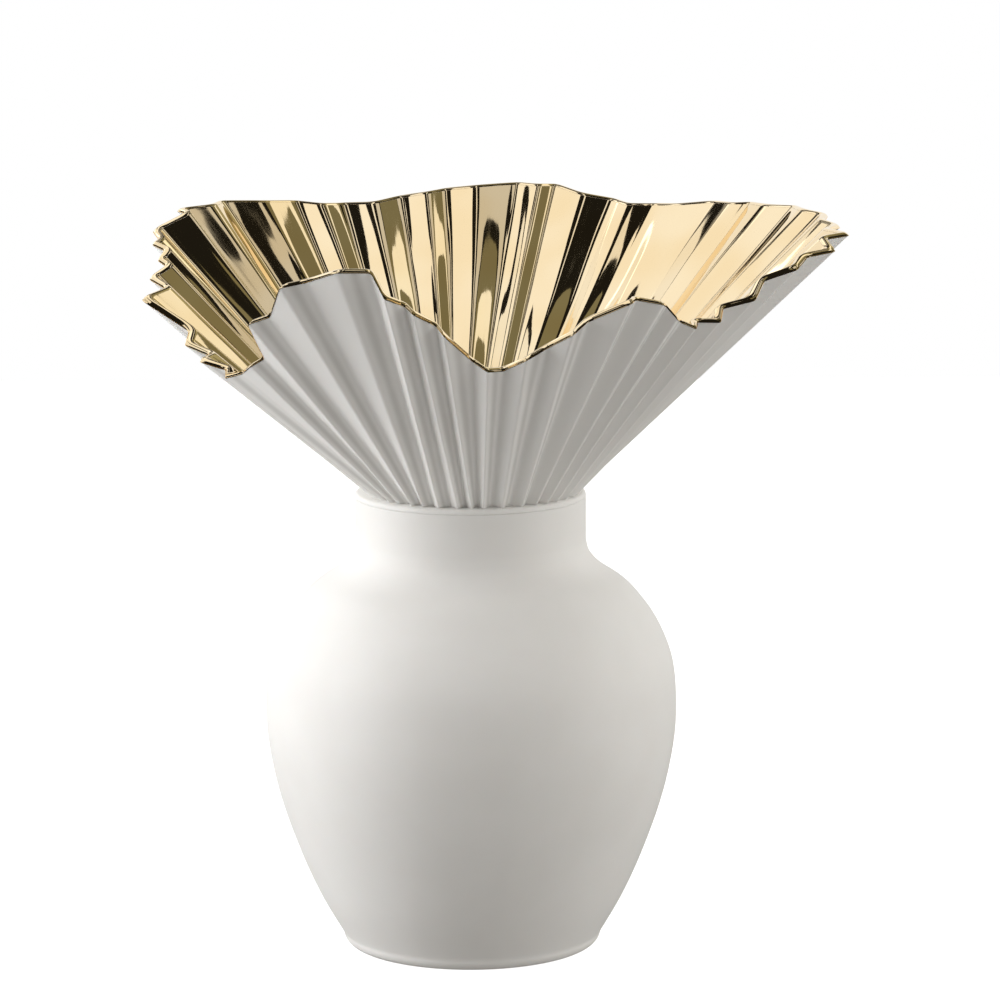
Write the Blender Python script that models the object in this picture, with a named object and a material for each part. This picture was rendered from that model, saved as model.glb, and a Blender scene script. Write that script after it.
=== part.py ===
"""A porcelain vase with a round body and a wide pleated collar that is gold-plated inside.

Metres, +Z up. The vase stands on z = 0 and faces -Y. The origin is the centre of its footprint, seen from above.
Every piece is fired or luted to the next one, so nothing moves.
"""

import math

import bmesh
import bpy
import numpy as np

MM = 0.001

# General
GAP = 0.3 * MM  # between pieces that touch
TURNED_SEGMENTS = 40

# Body
BODY_HEIGHT = 177.4 * MM
BODY_WALL = 4.6 * MM
NECK_RADIUS = 44.9 * MM
NECK_LENGTH = 17.5 * MM
BELLY_RADIUS = 80.1 * MM
BELLY_HEIGHT = 94.0 * MM
FOOT_RADIUS = 50.5 * MM  # where the rounding of the base begins
FOOT_ROUNDING = 4.6 * MM
FOOT_CONTACT_INSET = 5.0 * MM  # from FOOT_RADIUS to where the foot ring meets the table
FOOT_RING_WIDTH = 6.0 * MM
BASE_RECESS = 2.2 * MM
FLOOR_THICKNESS = 5.0 * MM
OUTLINE_POINTS = 20
INSIDE_CORNER = 3.0 * MM  # how far the inside rounds off at the floor
INSIDE_CORNER_HEIGHT = 1.5 * MM

# Inside glaze
GLAZE_THICKNESS = 0.5 * MM
GLAZE_BELOW_TOP = 2.0 * MM

# Ring that the collar stands on
RING_HEIGHT = 1.7 * MM
RING_ROUNDING = 1.5 * MM
RING_LEDGE = 2.8 * MM  # from the neck's radius in to the folds' ridges
RING_INSIDE = 0.5 * MM  # how far the ring comes in past the collar's wall

# Collar
FOLD_DEPTH = 4.2 * MM  # from ridge to valley, where the folds stand on the ring
THROAT_TO_RIGHT = 1.1 * MM  # how far the folds stand off the body's axis
COLLAR_WALL = 2.8 * MM
COLLAR_ROWS = 6
FOOT_LEVEL_SHARE = 0.15  # share of the way up over which the wall turns from level to square

# One row per fold. First, where its ridge stands on the ring, in degrees round from the front (positive to the
# right). Then where its ridge and the valley after it end on the wavy rim: degrees, distance from the axis in mm
# and height above the ring in mm. A valley stands half-way between two ridges.
FOLDS = (
    (-57.0, (-72.0, 98, 49), (-65.5, 95, 52)),
    (-49.4, (-54.0, 102, 57.5), (-51.0, 99, 61)),
    (-42.4, (-44.0, 118, 77), (-40.2, 114, 80)),
    (-33.0, (-32.5, 128.5, 93.5), (-28.8, 123, 95.5)),
    (-26.2, (-21.7, 129.5, 100.5), (-16.9, 122.5, 100)),
    (-17.0, (-14.8, 121, 90.5), (-12.4, 110, 86.5)),
    (-6.5, (-10.5, 113, 84), (-7.0, 102, 78.5)),
    (0.7, (-5.2, 104.5, 75), (0.7, 89, 63.5)),
    (6.9, (4.1, 92, 60), (8.3, 86.5, 59.5)),
    (16.9, (12.6, 96, 64.5), (17.6, 94.5, 68.5)),
    (28.0, (21.1, 105.5, 74.5), (24.5, 105, 79)),
    (36.5, (30.2, 118, 86.5), (32.6, 113.5, 87)),
    (44.0, (37.0, 118.5, 85), (40.4, 112, 83)),
    (52.0, (42.6, 113.5, 78), (47.2, 107, 75.5)),
    (60.0, (49.4, 111, 73), (52.8, 107, 74.5)),
    (68.5, (54.9, 114.5, 74.5), (57.4, 112.5, 79)),
    (77.0, (60.2, 123, 82), (64.0, 123, 88.5)),
    (84.5, (66.4, 134, 92.5), (71.5, 134.5, 96)),
    (92.0, (74.5, 143.5, 97.5), (78.0, 138.5, 101)),
    (99.0, (82.0, 146.5, 101.5), (88.5, 138.5, 101)),
    (106.0, (93.5, 144, 101), (98.5, 140, 102)),
    (113.0, (104.0, 145, 102.5), (108.5, 141, 103)),
    (120.0, (114.0, 143, 103), (119.0, 138, 102.5)),
    (130.0, (125.0, 140.5, 102), (127.5, 136.5, 101.5)),
    (139.0, (133.5, 138, 101), (139.0, 131.5, 99.5)),
    (150.0, (145.0, 133, 98.5), (149.0, 128, 98.5)),
    (159.0, (152.5, 132, 99.5), (158.5, 127.5, 102)),
    (169.0, (164.0, 134, 104.5), (167.0, 128.5, 105)),
    (178.0, (171.5, 133.5, 105), (178.5, 126.5, 104.5)),
    (188.0, (184.0, 130.5, 103), (188.0, 126, 102)),
    (198.0, (192.0, 130, 100.5), (198.5, 126, 98.5)),
    (208.0, (204.0, 132, 98), (208.0, 129.5, 98.5)),
    (218.0, (212.0, 138, 99.5), (218.5, 136.5, 100.5)),
    (228.0, (224.5, 144.5, 101), (228.5, 140.5, 100.5)),
    (238.0, (233.2, 147, 99.5), (235.2, 138, 99.5)),
    (246.0, (239.8, 146.5, 93), (242.0, 140, 90.5)),
    (253.5, (243.8, 140.5, 89), (245.6, 132.5, 87.5)),
    (261.0, (247.4, 133.5, 84), (249.5, 127.5, 82.5)),
    (269.0, (252.2, 132.5, 78), (256.5, 122, 75.5)),
    (277.5, (262.5, 129, 73), (266.5, 109, 62)),
    (286.0, (270.5, 110, 57.5), (275.0, 100.5, 54.5)),
    (294.5, (279.5, 105, 53.5), (283.5, 96, 51)),
)

# Gold
GOLD_SKIN = 0.4 * MM
GOLD_LAP = 1.6 * MM
LINING_STARTS_AT = 0.04  # share of the way from throat to rim

PORCELAIN = (0.86, 0.85, 0.83, 1.0)
GLAZE = (0.92, 0.92, 0.9, 1.0)
GOLD = (0.83, 0.68, 0.42, 1.0)


def finish_material(name, colour, roughness, metallic=0.0):
    """A Principled material with one colour."""
    material = bpy.data.materials.new(name)
    material.use_nodes = True
    shader = material.node_tree.nodes["Principled BSDF"]
    shader.inputs["Base Color"].default_value = colour
    shader.inputs["Roughness"].default_value = roughness
    shader.inputs["Metallic"].default_value = metallic
    return material


def add_object(name, mesh, material, parent):
    """Puts a mesh into the scene as one named piece."""
    mesh.materials.append(material)
    mesh.shade_smooth()
    mesh.set_sharp_from_angle(angle=math.radians(40))
    piece = bpy.data.objects.new(name, mesh)
    bpy.context.scene.collection.objects.link(piece)
    piece.parent = parent
    return piece


def turned_mesh(name, outline):
    """A solid turned about Z from a closed outline of (radius, height) points. Two may lie on the axis."""
    bm = bmesh.new()
    points = [bm.verts.new((radius, 0.0, height)) for radius, height in outline]
    edges = [bm.edges.new((a, b)) for a, b in zip(points, points[1:])]
    if min(outline[0][0], outline[-1][0]) > 0.0:
        edges.append(bm.edges.new((points[-1], points[0])))
    bmesh.ops.spin(
        bm,
        geom=points + edges,
        cent=(0.0, 0.0, 0.0),
        axis=(0.0, 0.0, 1.0),
        angle=math.tau,
        steps=TURNED_SEGMENTS,
        use_merge=True,
    )
    bmesh.ops.remove_doubles(bm, verts=bm.verts, dist=0.01 * MM)
    bmesh.ops.recalc_face_normals(bm, faces=bm.faces)
    mesh = bpy.data.meshes.new(name)
    bm.to_mesh(mesh)
    bm.free()
    return mesh


def smooth_through(places, values, at):
    """A cubic curve through (places, values), read at the places in at."""
    slopes = np.gradient(values, places)
    i = np.clip(np.searchsorted(places, at, side="right") - 1, 0, len(places) - 2)
    span = places[i + 1] - places[i]
    t = (at - places[i]) / span
    keep = 2 * t**3 - 3 * t**2 + 1
    start = span * (t**3 - 2 * t**2 + t)
    end = span * (t**3 - t**2)
    return keep * values[i] + (1 - keep) * values[i + 1] + start * slopes[i] + end * slopes[i + 1]


def body_outline():
    """The body's outer outline from the top of its foot rounding to its rim, as (radius, height) rows."""
    shoulder = BODY_HEIGHT - NECK_LENGTH - BELLY_HEIGHT
    rise = BELLY_HEIGHT - FOOT_ROUNDING
    bulge = BELLY_RADIUS - FOOT_RADIUS
    step = BELLY_RADIUS - NECK_RADIUS
    # Below the belly as shares of the rise and the bulge, above it as shares of the shoulder and the step.
    lower = [(0.0, 0.0), (0.16, 0.278), (0.425, 0.627), (0.68, 0.871), (1.0, 1.0)]
    upper = [(0.38, 0.905), (0.612, 0.67), (0.752, 0.43), (0.846, 0.174), (0.927, 0.042), (1.0, 0.002)]
    heights = [FOOT_ROUNDING + rise * up for up, _ in lower] + [BELLY_HEIGHT + shoulder * up for up, _ in upper]
    radii = [FOOT_RADIUS + bulge * out for _, out in lower] + [NECK_RADIUS + step * out for _, out in upper]
    heights, radii = np.array(heights), np.array(radii)
    at = np.linspace(heights[0], heights[-1], OUTLINE_POINTS)
    curve = np.column_stack([smooth_through(heights, radii, at), at])
    return np.vstack([curve, [NECK_RADIUS, BODY_HEIGHT]])


def inset(outline, distance, top):
    """The outline moved inwards, cut off at the floor and carried straight up to the height top."""
    along = np.gradient(outline, axis=0)
    along /= np.linalg.norm(along, axis=1)[:, None]
    inner = outline + distance * np.column_stack([-along[:, 1], along[:, 0]])
    floor = BASE_RECESS + FLOOR_THICKNESS + (distance - BODY_WALL)
    inner = inner[(inner[:, 1] > floor + INSIDE_CORNER_HEIGHT) & (inner[:, 1] < BODY_HEIGHT - NECK_LENGTH)]
    corner = inner[0, 0] - INSIDE_CORNER
    return [(0.0, floor), (corner, floor), *map(tuple, inner), (NECK_RADIUS - distance, top)]


def make_body(material, parent):
    """The cast body: a foot ring round a recessed base, the belly, the shoulder and the neck, with an even wall."""
    outline = body_outline()
    contact = FOOT_RADIUS - FOOT_CONTACT_INSET
    turn = np.linspace(0.0, math.pi / 2, 5)[:-1]
    rounding = [
        (contact + (FOOT_RADIUS - contact) * math.sin(a), FOOT_ROUNDING * (1 - math.cos(a))) for a in turn
    ]
    ring_inside = contact - FOOT_RING_WIDTH
    under = [(0.0, BASE_RECESS), (ring_inside - BASE_RECESS, BASE_RECESS), (ring_inside, 0.0)]
    inside = inset(outline, BODY_WALL, BODY_HEIGHT)
    loop = under + rounding + [tuple(p) for p in outline] + inside[::-1]
    return add_object("vase_body", turned_mesh("vase_body", loop), material, parent)


def make_glaze(material, parent):
    """The glaze coat inside the body, a thin even skin from the floor to just under the neck's top."""
    outline = body_outline()
    top = BODY_HEIGHT - GLAZE_BELOW_TOP
    outer = inset(outline, BODY_WALL + GAP, top)
    inner = inset(outline, BODY_WALL + GAP + GLAZE_THICKNESS, top)
    return add_object("inner_glaze", turned_mesh("inner_glaze", outer + inner[::-1]), material, parent)


def ring_top():
    """The height of the ledge that the folds stand on."""
    return BODY_HEIGHT + GAP + RING_HEIGHT


def throat_radii():
    """The radii at which the folds' ridges and valleys stand on the ring."""
    ridge = NECK_RADIUS - RING_LEDGE
    return ridge, ridge - FOLD_DEPTH


def make_ring(material, parent):
    """The low ring on the neck, with a rounded outer shoulder."""
    low, high = BODY_HEIGHT + GAP, ring_top()
    bore = throat_radii()[1] - THROAT_TO_RIGHT - COLLAR_WALL - RING_INSIDE
    rounding = [
        (
            NECK_RADIUS - RING_ROUNDING * (1 - math.cos(a)),
            high - RING_ROUNDING * (1 - math.sin(a)),
        )
        for a in np.linspace(0.0, math.pi / 2, 5)
    ]
    loop = [(bore, low), (NECK_RADIUS, low), *rounding, (bore, high)]
    return add_object("collar_ring", turned_mesh("collar_ring", loop), material, parent)


class Folds:
    """The collar's fold lines, ridge and valley in turn, from the throat to the wavy rim."""

    def __init__(self):
        ridges = np.array([ridge for ridge, _, _ in FOLDS])
        valleys = (ridges + np.append(ridges[1:], ridges[0] + 360.0)) / 2
        rim = np.array([end for _, *ends in FOLDS for end in ends])
        self.throat_angle = np.radians(np.column_stack([ridges, valleys]).ravel())
        self.throat_radius = np.tile(throat_radii(), len(FOLDS))
        self.throat_radius += THROAT_TO_RIGHT * np.sin(self.throat_angle)
        self.rim_angle = np.radians(rim[:, 0])
        self.rim_radius = rim[:, 1] * MM
        self.rim_height = rim[:, 2] * MM

    def rows(self, along, out):
        """Points on the folds at the shares in along (0 throat, 1 rim), moved by out towards the outside.

        Each fold runs straight from throat to rim, and a share over 1 carries it on past the rim. The wall's
        thickness is measured square to the fold, but the lowest row stays level with the collar's foot.
        """
        s = np.asarray(along, float)[:, None]
        start = np.stack([np.sin(self.throat_angle), -np.cos(self.throat_angle)]) * self.throat_radius
        end = np.stack([np.sin(self.rim_angle), -np.cos(self.rim_angle)]) * self.rim_radius
        plan = start[:, None, :] * (1 - s) + end[:, None, :] * s
        flare = self.rim_radius - self.throat_radius
        length = np.hypot(flare, self.rim_height)
        rise, run = self.rim_height / length, flare / length
        plan *= 1 + out * rise / np.hypot(*plan)
        height = ring_top() + GAP + self.rim_height * s - out * run * np.clip(s / FOOT_LEVEL_SHARE, 0.0, 1.0)
        return np.stack([*plan, height], axis=-1)

    def past_rim(self, distance):
        """The share at which the folds have run this far past the rim, or short of it, taken at the mean length."""
        return 1.0 + distance / np.hypot(self.rim_radius - self.throat_radius, self.rim_height).mean()

    def wall_shares(self):
        """The shares at which the collar has its rows: the plating's ends are among them, so the layers stay parallel."""
        steps = np.linspace(0.0, 1.0, COLLAR_ROWS)[1:-1]
        return np.array([0.0, LINING_STARTS_AT, *steps, *self.lining_end_and_lap(), 1.0])

    def lining_end_and_lap(self):
        """The shares at which the lining ends and the edge band's lap begins."""
        return self.past_rim(-GOLD_LAP - GAP), self.past_rim(-GOLD_LAP)


def banded_mesh(name, loops):
    """A closed band from rings of points that follow each other round its section, each ring as long as the next.

    Every quad is split from its lower left to its upper right, going up or down, so that layers stay parallel.
    """
    rings = np.asarray(loops)
    count, columns = rings.shape[:2]
    row, column = np.meshgrid(np.arange(count), np.arange(columns), indexing="ij")
    next_row, next_column = (row + 1) % count, (column + 1) % columns
    a, b = row * columns + column, row * columns + next_column
    c, d = next_row * columns + next_column, next_row * columns + column
    reach = np.hypot(rings[..., 0], rings[..., 1]).mean(axis=1)
    rising = (np.roll(reach, -1) > reach)[:, None, None]
    first = np.where(rising, np.stack([a, b, c], -1), np.stack([a, b, d], -1))
    second = np.where(rising, np.stack([a, c, d], -1), np.stack([b, c, d], -1))
    faces = np.concatenate([first, second]).reshape(-1, 3)
    mesh = bpy.data.meshes.new(name)
    mesh.from_pydata(rings.reshape(-1, 3).tolist(), [], faces.tolist())
    return mesh


def make_collar(folds, material, parent):
    """The pleated skirt: the outer face from throat to rim, then the inner face back to the throat."""
    along = folds.wall_shares()
    outer = folds.rows(along, 0.0)
    inner = folds.rows(along[::-1], -COLLAR_WALL)
    mesh = banded_mesh("pleated_collar", np.concatenate([outer, inner]))
    return add_object("pleated_collar", mesh, material, parent)


def make_lining(folds, material, parent):
    """The gold plating on the collar's inner face, which stops where the edge band laps over it."""
    along = folds.wall_shares()[1:-2]
    back = folds.rows(along, -COLLAR_WALL - GAP)
    face = folds.rows(along[::-1], -COLLAR_WALL - GAP - GOLD_SKIN)
    mesh = banded_mesh("gold_lining", np.concatenate([back, face]))
    return add_object("gold_lining", mesh, material, parent)


def make_edge(folds, material, parent):
    """The gilded band over the rim: a channel round the cut edge with a lap on both faces."""
    lap = folds.lining_end_and_lap()[1]
    inside, outside = folds.past_rim(GAP), folds.past_rim(GAP + GOLD_SKIN)
    near, far = GAP, GAP + GOLD_SKIN
    section = [
        (lap, far), (outside, far), (outside, -COLLAR_WALL - far), (lap, -COLLAR_WALL - far),
        (lap, -COLLAR_WALL - near), (inside, -COLLAR_WALL - near), (inside, near), (lap, near),
    ]  # fmt: skip
    mesh = banded_mesh("gold_edge", [folds.rows([share], out)[0] for share, out in section])
    return add_object("gold_edge", mesh, material, parent)


def main():
    """Clears the scene and builds the vase under one empty, centred over the origin."""
    for leftover in list(bpy.data.objects):
        bpy.data.objects.remove(leftover, do_unlink=True)

    porcelain = finish_material("biscuit_porcelain", PORCELAIN, 0.6)
    glaze = finish_material("clear_glaze", GLAZE, 0.12)
    gold = finish_material("polished_gold", GOLD, 0.08, metallic=1.0)

    vase = bpy.data.objects.new("vase", None)
    bpy.context.scene.collection.objects.link(vase)
    folds = Folds()
    make_body(porcelain, vase)
    make_glaze(glaze, vase)
    make_ring(porcelain, vase)
    make_collar(folds, porcelain, vase)
    make_lining(folds, gold, vase)
    edge = make_edge(folds, gold, vase)

    corners = np.array([vertex.co for vertex in edge.data.vertices])
    centre = (corners.min(axis=0) + corners.max(axis=0)) / 2
    vase.location = (-centre[0], -centre[1], 0.0)


main()
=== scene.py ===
"""The looks of a matte porcelain vase with a wide pleated collar, plated in polished gold inside.

Every length is in metres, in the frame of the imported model: +Z up, the front towards -Y. The pieces are
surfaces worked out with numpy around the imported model. Each one replaces the coarse solid that it refines.
"""

from __future__ import annotations

import logging
import math
from dataclasses import dataclass, field
from enum import Enum
from typing import Any, Mapping, Sequence

import bpy
import numpy as np
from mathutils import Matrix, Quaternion, Vector

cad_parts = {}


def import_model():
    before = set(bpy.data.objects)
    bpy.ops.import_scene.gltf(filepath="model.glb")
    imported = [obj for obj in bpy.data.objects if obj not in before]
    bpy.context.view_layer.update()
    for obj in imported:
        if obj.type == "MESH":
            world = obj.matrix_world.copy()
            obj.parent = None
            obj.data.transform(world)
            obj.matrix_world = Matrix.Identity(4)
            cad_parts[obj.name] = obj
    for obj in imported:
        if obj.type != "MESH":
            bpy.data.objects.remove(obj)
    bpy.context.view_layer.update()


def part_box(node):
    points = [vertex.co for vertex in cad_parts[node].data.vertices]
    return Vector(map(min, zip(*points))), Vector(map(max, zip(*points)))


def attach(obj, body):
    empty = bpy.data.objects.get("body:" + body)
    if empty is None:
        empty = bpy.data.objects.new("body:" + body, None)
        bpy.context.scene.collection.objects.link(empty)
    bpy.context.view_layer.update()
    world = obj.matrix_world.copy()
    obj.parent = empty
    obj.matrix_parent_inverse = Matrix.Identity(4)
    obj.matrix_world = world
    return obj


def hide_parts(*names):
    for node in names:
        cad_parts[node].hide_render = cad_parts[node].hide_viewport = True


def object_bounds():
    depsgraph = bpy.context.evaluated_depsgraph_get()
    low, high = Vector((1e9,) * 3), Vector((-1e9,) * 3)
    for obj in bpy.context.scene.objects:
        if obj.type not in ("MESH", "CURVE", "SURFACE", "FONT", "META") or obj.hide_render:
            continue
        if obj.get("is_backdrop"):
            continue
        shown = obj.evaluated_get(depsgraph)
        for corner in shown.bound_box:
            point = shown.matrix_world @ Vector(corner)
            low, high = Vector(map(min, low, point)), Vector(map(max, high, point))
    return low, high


LOG = logging.getLogger("vase")
MM = 0.001
QUARTER_TURN = math.pi / 2
SHARP_FROM_DEG = 40.0
FOLD_MAP = "folds"

Points = np.ndarray
Colour = tuple[float, float, float]
WHITE: Colour = (1.0, 1.0, 1.0)
WARM: Colour = (1.0, 0.985, 0.95)
OLIVE: Colour = (1.0, 0.93, 0.55)

# A colour Mix node's sockets, which have numbers because their names repeat.
MIX_FACTOR, MIX_LOW, MIX_HIGH, MIX_RESULT = 0, 6, 7, 2


# ----------------------------------------------------------------------------------------------------
# Shapes
# ----------------------------------------------------------------------------------------------------


def smooth_through(places: Sequence[float], values: Sequence[float], at: Points) -> Points:
    """Reads a cubic curve through given points: each span is a Hermite cubic with its two ends' slopes.

    Args:
        places: where the points lie, rising.
        values: the curve's value at each place.
        at: the places to read it at.

    Returns:
        The values at the places in at.
    """
    x, y = np.asarray(places, float), np.asarray(values, float)
    slope = np.gradient(y, x)
    i = np.clip(np.searchsorted(x, at, side="right") - 1, 0, len(x) - 2)
    span = x[i + 1] - x[i]
    t = (at - x[i]) / span
    keep = 2 * t**3 - 3 * t**2 + 1
    ends = span * ((t**3 - 2 * t**2 + t) * slope[i] + (t**3 - t**2) * slope[i + 1])
    return keep * y[i] + (1 - keep) * y[i + 1] + ends


def quarter_round(
    start: tuple[float, float], end: tuple[float, float], bulge_first: bool, steps: int
) -> Points:
    """A quarter of an ellipse between two points of an outline.

    Args:
        start: the first point, as (radius, height).
        end: the last point.
        bulge_first: whether the curve sets off along the height (True) or along the radius (False).
        steps: how many points it has.

    Returns:
        The points as rows of (radius, height).
    """
    turn = np.linspace(0.0, QUARTER_TURN, steps)
    rise, swing = np.sin(turn), 1 - np.cos(turn)
    across, up = (swing, rise) if bulge_first else (rise, swing)
    return np.column_stack(
        [start[0] + (end[0] - start[0]) * across, start[1] + (end[1] - start[1]) * up]
    )


def skin_mesh(name: str, rings: Points, closed: bool, fold_map: Points | None = None) -> bpy.types.Mesh:
    """Joins rings of points into a closed skin.

    Ring follows ring, and each ring closes on itself. The last ring joins the first one, or else both ends
    are closed by a fan to their middle.

    Args:
        name: the mesh's name.
        rings: the points, shaped (rings, columns, 3).
        closed: whether the last ring joins the first.
        fold_map: a coordinate pair for each point, shaped (rings, columns + 1, 2), with the seam's column
            repeated.

    Returns:
        The mesh, shaded smooth.
    """
    count, columns = rings.shape[:2]
    row = np.arange(count if closed else count - 1)[:, None]
    column = np.arange(columns)[None, :]
    after, beside = (row + 1) % count, (column + 1) % columns
    quads = np.stack(
        [
            row * columns + column,
            row * columns + beside,
            after * columns + beside,
            after * columns + column,
        ],
        axis=-1,
    ).reshape(-1, 4)
    points = rings.reshape(-1, 3)
    faces: list[list[int]] = quads.tolist()
    if not closed:
        points = np.concatenate([points, [rings[0].mean(axis=0)], [rings[-1].mean(axis=0)]])
        ring = np.arange(columns)
        ahead = (ring + 1) % columns
        last = (count - 1) * columns
        middle = np.full(columns, count * columns)
        faces += np.stack([ahead, ring, middle], -1).tolist()
        faces += np.stack([last + ring, last + ahead, middle + 1], -1).tolist()
    mesh = bpy.data.meshes.new(name)
    mesh.from_pydata(points.tolist(), [], faces)
    if fold_map is not None:
        corners = np.stack(
            [
                fold_map[row, column],
                fold_map[row, column + 1],
                fold_map[after, column + 1],
                fold_map[after, column],
            ],
            axis=2,
        )
        layer = mesh.uv_layers.new(name=FOLD_MAP)
        layer.data.foreach_set("uv", corners.astype(np.float32).ravel())
    mesh.shade_smooth()
    mesh.set_sharp_from_angle(angle=math.radians(SHARP_FROM_DEG))
    return mesh


def turned(outline: Points, axis: Vector, columns: int) -> Points:
    """Turns an outline about an upright axis: point (r, z) becomes a ring of radius r at height z.

    Args:
        outline: rows of (radius, height).
        axis: a point on the axis; its height isn't used.
        columns: how many points a ring has.

    Returns:
        The rings, shaped (rows, columns, 3), ordered anticlockwise seen from above.
    """
    angle = np.linspace(0.0, math.tau, columns, endpoint=False)
    radius, height = outline[:, 0, None], outline[:, 1, None]
    x, y = axis.x + radius * np.cos(angle), axis.y + radius * np.sin(angle)
    return np.stack([x, y, height + 0.0 * x], axis=-1)


# ----------------------------------------------------------------------------------------------------
# Shader expressions and finishes
# ----------------------------------------------------------------------------------------------------


class Value:
    """A number from a shader socket, which Python's operators turn into Math nodes."""

    def __init__(self, sheet: NodeSheet, socket: bpy.types.NodeSocket) -> None:
        """Wraps the socket of a node on the sheet."""
        self.sheet = sheet
        self.socket = socket

    def fraction(self) -> Value:
        """What is left of self above the whole number below it."""
        return self._with("FRACT", self)

    def distance_from(self, centre: float) -> Value:
        """How far self is from a centre, on either side."""
        return self._with("ABSOLUTE", self - centre)

    def _with(self, operation: str, *numbers: Value | float) -> Value:
        """A Math node of this operation on the numbers."""
        node = self.sheet.add("ShaderNodeMath", {"operation": operation}, dict(enumerate(numbers)))
        return Value(self.sheet, node.outputs[0])

    def __add__(self, other: Value | float) -> Value:
        """self + other."""
        return self._with("ADD", self, other)

    def __radd__(self, other: float) -> Value:
        """other + self."""
        return self._with("ADD", other, self)

    def __sub__(self, other: Value | float) -> Value:
        """self - other."""
        return self._with("SUBTRACT", self, other)

    def __rsub__(self, other: float) -> Value:
        """other - self."""
        return self._with("SUBTRACT", other, self)

    def __mul__(self, other: Value | float) -> Value:
        """self * other."""
        return self._with("MULTIPLY", self, other)

    def __rmul__(self, other: float) -> Value:
        """other * self."""
        return self._with("MULTIPLY", other, self)

    def spread(self, low: float, high: float, to_low: float = 0.0, to_high: float = 1.0) -> Value:
        """Maps a span of self onto another with soft ends, and holds it there outside the span.

        Args:
            low: where the span starts.
            high: where it ends.
            to_low: what low becomes.
            to_high: what high becomes.

        Returns:
            The mapped value.
        """
        settings = {"interpolation_type": "SMOOTHSTEP"}
        inputs = {"Value": self, "From Min": low, "From Max": high, "To Min": to_low, "To Max": to_high}
        return Value(self.sheet, self.sheet.add("ShaderNodeMapRange", settings, inputs).outputs["Result"])


class NodeSheet:
    """A material's or a world's node tree, which nodes are added to."""

    def __init__(self, tree: bpy.types.NodeTree) -> None:
        """Clears the tree."""
        tree.nodes.clear()
        self.tree = tree

    def add(
        self, kind: str, settings: Mapping[str, Any] | None = None, inputs: Mapping[Any, Any] | None = None
    ) -> bpy.types.Node:
        """Adds one node.

        Args:
            kind: the node's type, such as ShaderNodeMath.
            settings: properties that are set first, such as operation.
            inputs: what goes into its sockets, by name or number: a Value, a socket, or a plain setting.

        Returns:
            The node.
        """
        node = self.tree.nodes.new(kind)
        for name, setting in (settings or {}).items():
            setattr(node, name, setting)
        self.feed(node, inputs or {})
        return node

    def feed(self, node: bpy.types.Node, inputs: Mapping[Any, Any]) -> None:
        """Puts values, links or plain settings into a node's sockets.

        Args:
            node: the node.
            inputs: what goes into its sockets, by name or number: a Value, a socket, or a plain setting.
        """
        for name, given in inputs.items():
            source = given.socket if isinstance(given, Value) else given
            if isinstance(source, bpy.types.NodeSocket):
                self.tree.links.new(source, node.inputs[name])
            else:
                node.inputs[name].default_value = source

    def scaled(
        self, where: bpy.types.NodeSocket, factors: tuple[float, float, float]
    ) -> bpy.types.NodeSocket:
        """A place with its three directions scaled apart."""
        return self.add("ShaderNodeVectorMath", {"operation": "MULTIPLY"}, {0: where, 1: factors}).outputs[0]

    def place(self, scale: float) -> bpy.types.NodeSocket:
        """The point on the piece, in its own frame, times a scale."""
        return self.scaled(self.add("ShaderNodeTexCoord").outputs["Object"], (scale, scale, scale))

    def on_fold_map(self) -> bpy.types.NodeSocket:
        """The point on the fold map: folds counted round the collar, and the share of the way up it."""
        return self.add("ShaderNodeUVMap", {"uv_map": FOLD_MAP}).outputs["UV"]

    def along_folds(self, across: float, along: float) -> bpy.types.NodeSocket:
        """The point on the fold map, with its two directions scaled apart."""
        return self.scaled(self.on_fold_map(), (across, along, 1.0))

    def fold_place(self) -> Value:
        """Where a point lies between its ridge (0), the valley (a half) and the next ridge (1)."""
        parts = self.add("ShaderNodeSeparateXYZ", {}, {0: self.on_fold_map()})
        return Value(self, parts.outputs["X"]).fraction()

    def noise(self, where: bpy.types.NodeSocket, detail: float = 2.0, roughness: float = 0.5) -> Value:
        """Soft noise about 0.5, read at a place."""
        inputs = {"Vector": where, "Scale": 1.0, "Detail": detail, "Roughness": roughness}
        return Value(self, self.add("ShaderNodeTexNoise", {}, inputs).outputs["Fac"])

    def blend(
        self, factor: Value, low: Colour | bpy.types.NodeSocket, high: Colour
    ) -> bpy.types.NodeSocket:
        """A colour between two colours.

        Args:
            factor: the share of the high colour.
            low: the colour at 0, which may come from a socket.
            high: the colour at 1.

        Returns:
            The colour's socket.
        """
        first = low if isinstance(low, bpy.types.NodeSocket) else (*low, 1.0)
        colours = {MIX_FACTOR: factor, MIX_LOW: first, MIX_HIGH: (*high, 1.0)}
        return self.add("ShaderNodeMix", {"data_type": "RGBA"}, colours).outputs[MIX_RESULT]

    def bump(self, height: Value, depth: float) -> bpy.types.NodeSocket:
        """A normal that is tilted as if the surface rose by the height times the depth in metres."""
        inputs = {"Strength": 1.0, "Distance": depth, "Height": height}
        return self.add("ShaderNodeBump", {}, inputs).outputs[0]


@dataclass(frozen=True)
class Finish:
    """What all finishes share: a name and a way to make a material of it."""

    name: str

    def material(self) -> bpy.types.Material:
        """Makes the material.

        Returns:
            The material, with a Principled shader that dress() has set up.
        """
        made = bpy.data.materials.new(self.name)
        made.use_nodes = True
        sheet = NodeSheet(made.node_tree)
        shader = sheet.add("ShaderNodeBsdfPrincipled")
        self.dress(sheet, shader)
        sheet.add("ShaderNodeOutputMaterial", {}, {"Surface": shader.outputs[0]})
        return made

    def dress(self, sheet: NodeSheet, shader: bpy.types.Node) -> None:
        """Sets the shader up. Each finish has its own."""
        raise NotImplementedError


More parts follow.
